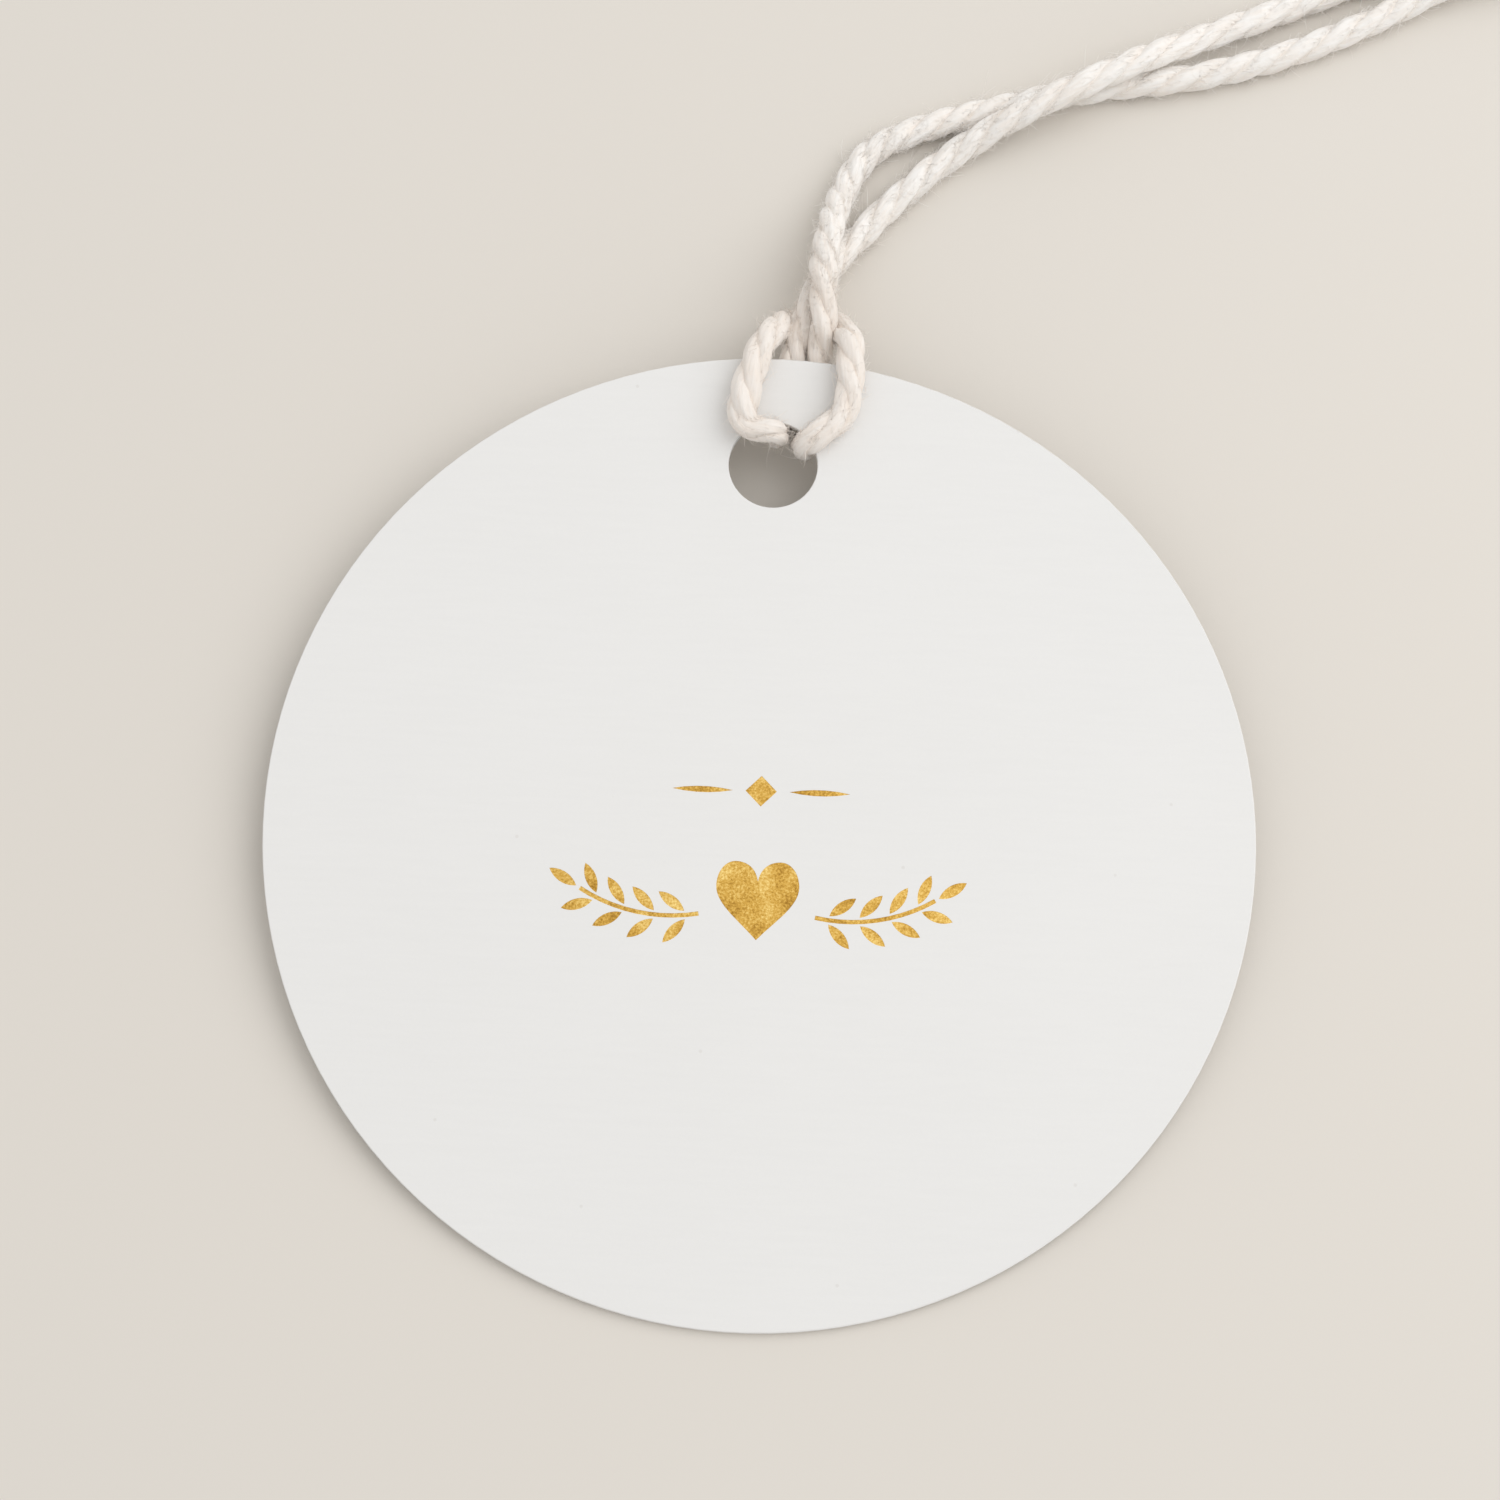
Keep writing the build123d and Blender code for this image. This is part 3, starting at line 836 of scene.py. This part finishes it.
def rolled_camera(scene, stage):
    """The camera, aimed at a point from its height above the floor and rolled about its line of sight."""
    camera = bpy.data.objects.new("camera", bpy.data.cameras.new("camera"))
    camera.data.lens = stage.lens
    camera.data.sensor_width = SENSOR_WIDTH
    camera.data.clip_start = NEAREST_SEEN
    rise, roll = stage.height, stage.roll
    ahead = Vector((0, math.cos(rise), -math.sin(rise)))
    right, up = Vector((1, 0, 0)), Vector((0, math.sin(rise), math.cos(rise)))
    turned = right * math.cos(roll) + up * math.sin(roll)
    upward = up * math.cos(roll) - right * math.sin(roll)
    eye = CAMERA_AIM - ahead * stage.distance
    camera.matrix_world = Matrix.Translation(eye) @ Matrix((turned, upward, -ahead)).transposed().to_4x4()
    scene.collection.objects.link(camera)
    scene.camera = camera


class TAG_OT_stage(bpy.types.Operator):
    """Sets the plain floor, the soft light and the camera"""
    bl_idname = "tag.stage"
    bl_label = "Floor, light and camera"

    def execute(self, context):
        scene = context.scene
        plain_floor(context, scene.tag_stage)
        soft_light(scene, scene.tag_stage)
        rolled_camera(scene, scene.tag_stage)
        scene.view_settings.view_transform = "Standard"
        return {"FINISHED"}


class TAG_PT_tag(bpy.types.Panel):
    """Lists the tag's pieces and their settings"""
    bl_idname = "TAG_PT_tag"
    bl_label = "Gift tag"
    bl_space_type = "VIEW_3D"
    bl_region_type = "UI"
    bl_category = "Gift tag"

    def draw(self, context):
        layout = self.layout
        for step in STEPS:
            layout.operator(step.bl_idname)
        for name in GROUPS:
            group = getattr(context.scene, name)
            box = layout.box()
            for setting in group.bl_rna.properties.keys():
                if setting not in ("rna_type", "name"):
                    box.prop(group, setting)


STEPS = (TAG_OT_card, TAG_OT_foil, TAG_OT_hitch, TAG_OT_knot, TAG_OT_legs, TAG_OT_stage)
GROUPS = {"tag_cord": CordSettings, "tag_paper": PaperSettings, "tag_foil": FoilSettings,
          "tag_stage": StageSettings}


def register():
    """Registers the settings, the operators and the panel."""
    for group in GROUPS.values():
        bpy.utils.register_class(group)
    for name, group in GROUPS.items():
        setattr(bpy.types.Scene, name, PointerProperty(type=group))
    for step in STEPS:
        bpy.utils.register_class(step)
    bpy.utils.register_class(TAG_PT_tag)


def unregister():
    """Takes the panel, the operators and the settings out again."""
    bpy.utils.unregister_class(TAG_PT_tag)
    for step in STEPS:
        bpy.utils.unregister_class(step)
    for name, group in GROUPS.items():
        delattr(bpy.types.Scene, name)
        bpy.utils.unregister_class(group)


def main():
    """Dresses the whole tag."""
    register()
    bpy.ops.tag.card()
    bpy.ops.tag.foil()
    bpy.ops.tag.hitch()
    bpy.ops.tag.knot()
    bpy.ops.tag.legs()
    bpy.ops.tag.stage()


if __name__ == "__main__":
    main()
